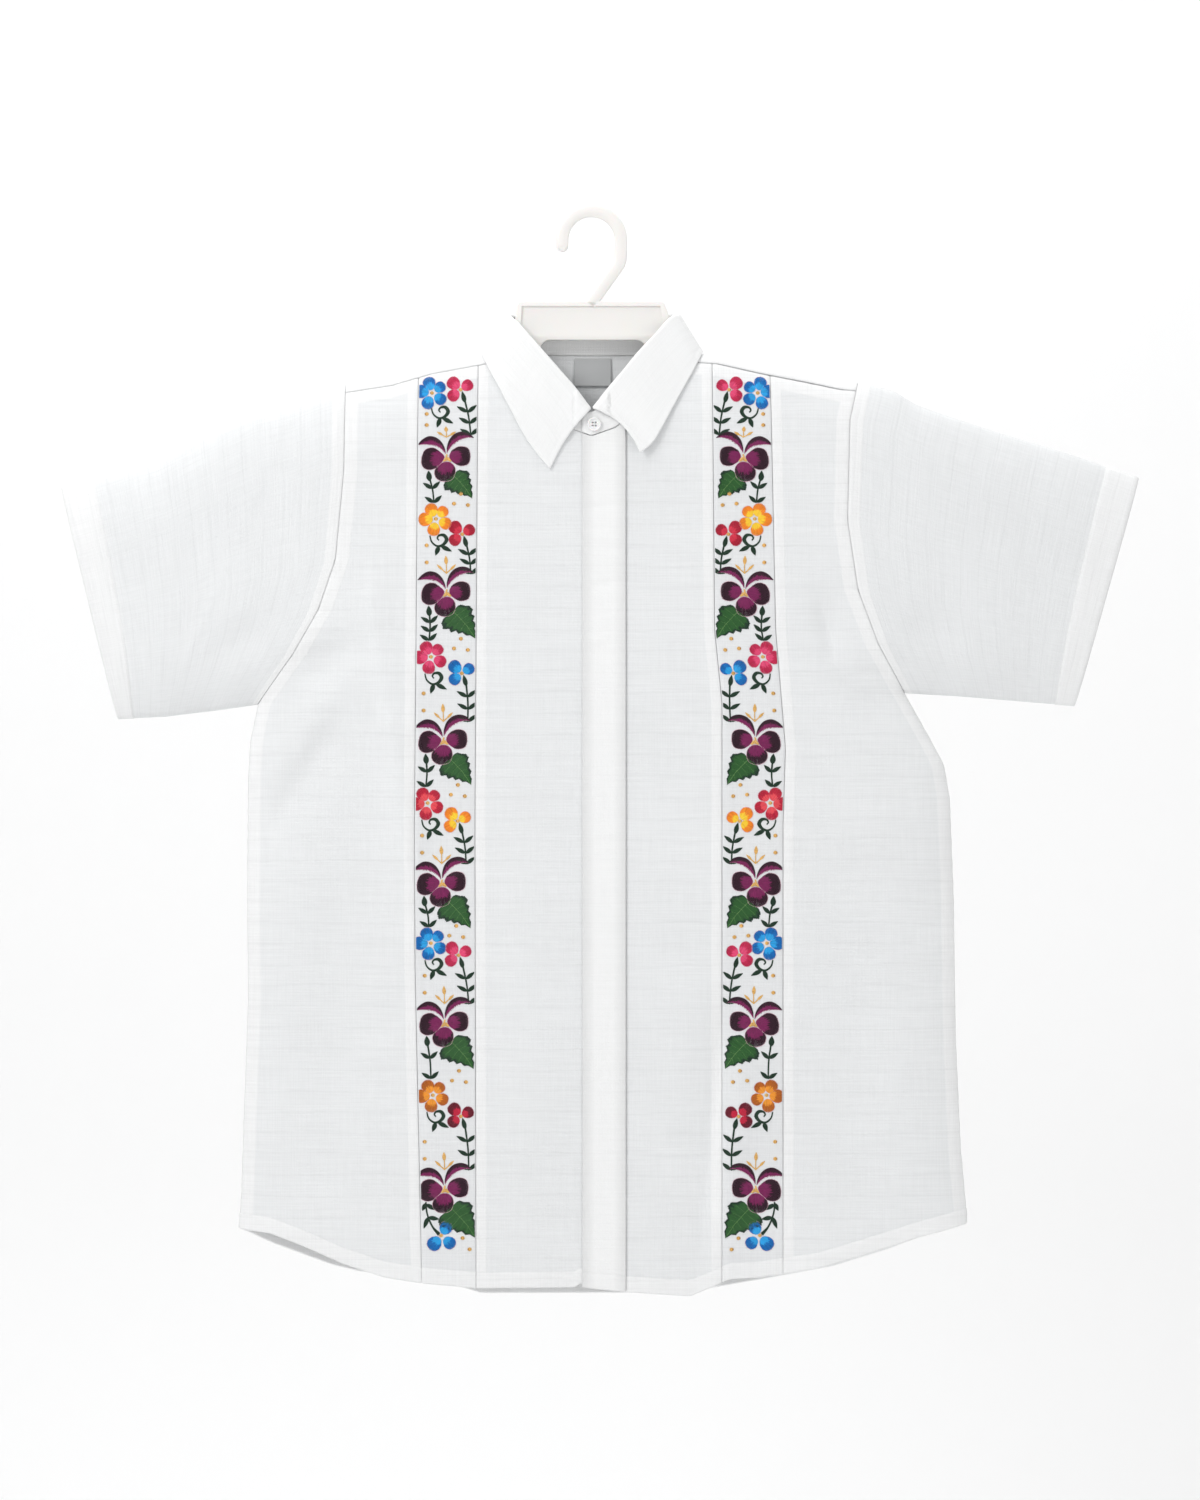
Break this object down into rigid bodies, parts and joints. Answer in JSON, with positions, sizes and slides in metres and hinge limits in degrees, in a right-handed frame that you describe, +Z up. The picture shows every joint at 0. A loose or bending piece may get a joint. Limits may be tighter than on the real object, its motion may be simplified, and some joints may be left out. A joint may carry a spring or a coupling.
{
  "type": "guayabera shirt on a plastic hanger",
  "caption": "Short-sleeved white guayabera shirt with two inset bands of embroidered flowers down the front, open collar and hidden button placket, hanging on a white moulded plastic hanger.",
  "frame": {"origin": "inner top of the hanger's hook, where it rests on a rail", "axes": "+Z up, the shirt's front faces -Y, +X towards the wearer's left"},
  "size_m": [0.8853, 0.0466, 0.8961],
  "materials": {
    "cotton": "sheer slubby plain weave, matte",
    "cotton_doubled": "two layers of the same cloth, matte",
    "sewing_thread": "white polyester thread",
    "embroidery_thread": "shiny satin-stitch thread in several colours",
    "label": "plain grey satin ribbon",
    "button": "polished white with a faint pearl sheen",
    "hanger": "smooth moulded plastic, soft gloss"
  },
  "bodies": {
    "root": {"front_side_right": "cotton", "front_side_left": "cotton", "front_band_right": "cotton", "front_band_left": "cotton", "front_centre_right": "cotton", "front_centre_left": "cotton", "placket": "cotton_doubled", "back": "cotton", "sleeve_right": "cotton", "sleeve_left": "cotton", "collar_stand": "cotton_doubled", "collar_leaf": "cotton_doubled", "neck_label": "label", "collar_button": "button", "hanger": "hanger"}
  },
  "joints": []
}
